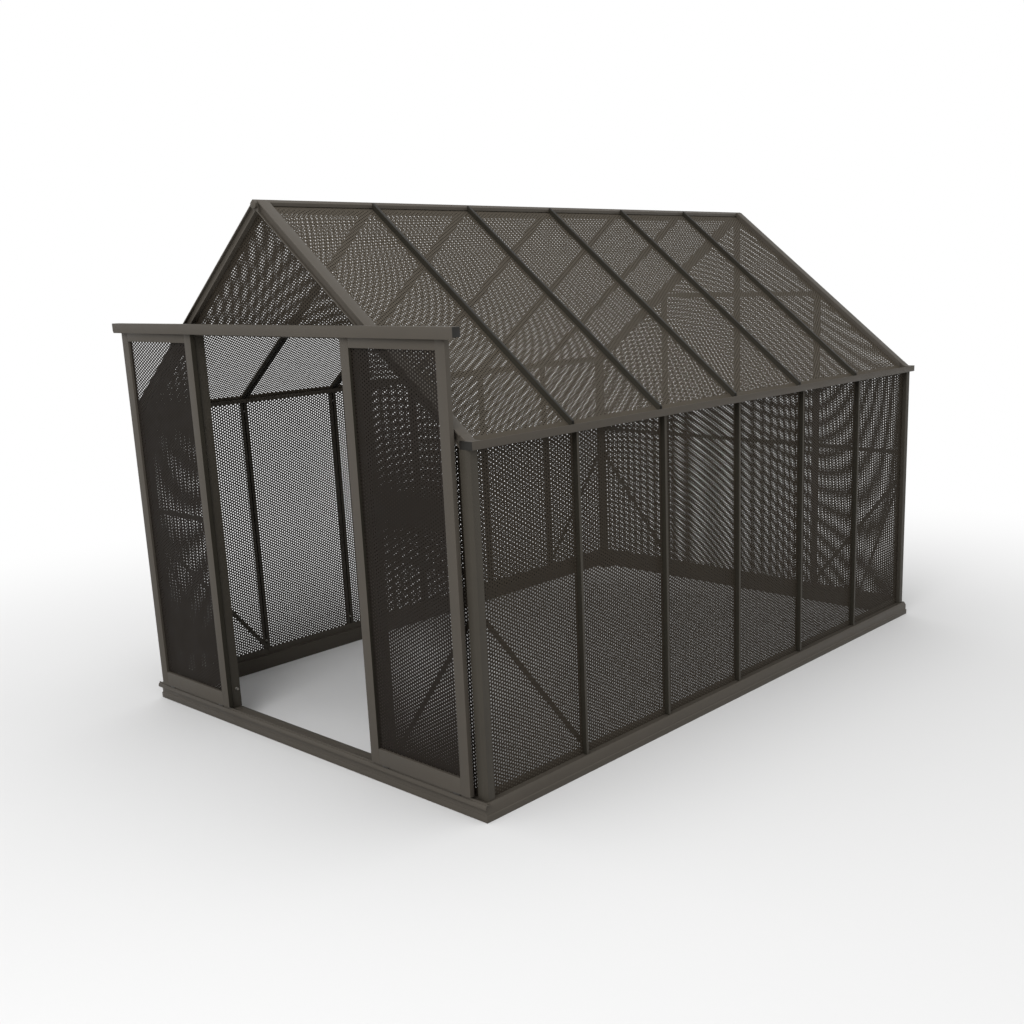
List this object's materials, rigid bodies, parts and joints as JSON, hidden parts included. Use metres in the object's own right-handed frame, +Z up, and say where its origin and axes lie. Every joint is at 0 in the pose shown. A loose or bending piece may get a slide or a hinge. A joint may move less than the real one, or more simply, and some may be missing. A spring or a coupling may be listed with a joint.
{
  "type": "shade house",
  "caption": "Gabled walk-in shade house with a dark aluminium bar frame, perforated sheet walls and roof, and a pair of top-hung sliding doors in the front gable.",
  "frame": {"origin": "on the ground under the middle of the whole house", "axes": "+Z up, front gable with the doors towards -Y, ridge along Y"},
  "size_m": [2.586, 3.848, 2.5768],
  "materials": {
    "frame_coat": "satin dark bronze powder coat",
    "sheet_coat": "satin dark bronze powder coat on perforated sheet",
    "cap_plastic": "dark moulded plastic",
    "roller_nylon": "dark nylon",
    "fastener_steel": "dark coated steel"
  },
  "bodies": {
    "frame": {"base_rail_left": "frame_coat", "base_rail_rear": "frame_coat", "base_rail_right": "frame_coat", "corner_post_front_left": "frame_coat", "corner_post_front_right": "frame_coat", "corner_post_rear_left": "frame_coat", "corner_post_rear_right": "frame_coat", "door_header_track": "frame_coat", "door_jamb_left": "frame_coat", "door_jamb_right": "frame_coat", "door_sill": "frame_coat", "eaves_beam_left": "frame_coat", "eaves_beam_right": "frame_coat", "eaves_end_caps": "cap_plastic", "end_rafter_front_left": "frame_coat", "end_rafter_front_right": "frame_coat", "end_rafter_rear_left": "frame_coat", "end_rafter_rear_right": "frame_coat", "frame_bolts": "fastener_steel", "front_gable_panels": "sheet_coat", "front_gable_rail": "frame_coat", "ground_cleats": "fastener_steel", "header_end_caps": "cap_plastic", "header_spacers": "frame_coat", "rafter_feet": "frame_coat", "rear_gable_bars": "frame_coat", "rear_gable_panels": "sheet_coat", "rear_gable_rail": "frame_coat", "ridge_beam": "frame_coat", "ridge_end_caps": "cap_plastic", "roof_bars_left": "frame_coat", "roof_bars_right": "frame_coat", "roof_panels_left": "sheet_coat", "roof_panels_right": "sheet_coat", "sill_guide": "frame_coat", "waist_strips": "frame_coat", "wall_bars_left": "frame_coat", "wall_bars_right": "frame_coat", "wall_panels_left": "sheet_coat", "wall_panels_right": "sheet_coat", "wind_braces": "frame_coat"},
    "left_door": {"left_door_bottom_rail": "frame_coat", "left_door_hangers": "fastener_steel", "left_door_inner_stile": "frame_coat", "left_door_outer_stile": "frame_coat", "left_door_panel": "sheet_coat", "left_door_shoes": "roller_nylon", "left_door_top_rail": "frame_coat"},
    "left_door_roller_inner": {"left_door_roller_inner": "roller_nylon"},
    "left_door_roller_outer": {"left_door_roller_outer": "roller_nylon"},
    "right_door": {"right_door_bottom_rail": "frame_coat", "right_door_hangers": "fastener_steel", "right_door_inner_stile": "frame_coat", "right_door_outer_stile": "frame_coat", "right_door_panel": "sheet_coat", "right_door_shoes": "roller_nylon", "right_door_top_rail": "frame_coat"},
    "right_door_roller_inner": {"right_door_roller_inner": "roller_nylon"},
    "right_door_roller_outer": {"right_door_roller_outer": "roller_nylon"}
  },
  "joints": [
    {"name": "left_door_slide", "type": "slide", "parent": "frame", "child": "left_door", "axis": [1, 0, 0], "range_m": [0, 0.586]},
    {"name": "left_inner_roller_spin", "type": "hinge", "parent": "left_door", "child": "left_door_roller_inner", "pos_m": [-0.678, -1.9135, 2.01514], "axis": [0, 1, 0], "continuous": true},
    {"name": "left_outer_roller_spin", "type": "hinge", "parent": "left_door", "child": "left_door_roller_outer", "pos_m": [-1.144, -1.9135, 2.01514], "axis": [0, 1, 0], "continuous": true},
    {"name": "right_door_slide", "type": "slide", "parent": "frame", "child": "right_door", "axis": [-1, 0, 0], "range_m": [-0.03, 0.556]},
    {"name": "right_inner_roller_spin", "type": "hinge", "parent": "right_door", "child": "right_door_roller_inner", "pos_m": [0.648, -1.9135, 2.01514], "axis": [0, -1, 0], "continuous": true},
    {"name": "right_outer_roller_spin", "type": "hinge", "parent": "right_door", "child": "right_door_roller_outer", "pos_m": [1.114, -1.9135, 2.01514], "axis": [0, -1, 0], "continuous": true}
  ],
  "couplings": [
    {"joint": "left_inner_roller_spin", "follows": "left_door_slide", "rad_per_m": 83.333},
    {"joint": "left_outer_roller_spin", "follows": "left_door_slide", "rad_per_m": 83.333},
    {"joint": "right_inner_roller_spin", "follows": "right_door_slide", "rad_per_m": 83.333},
    {"joint": "right_outer_roller_spin", "follows": "right_door_slide", "rad_per_m": 83.333}
  ]
}
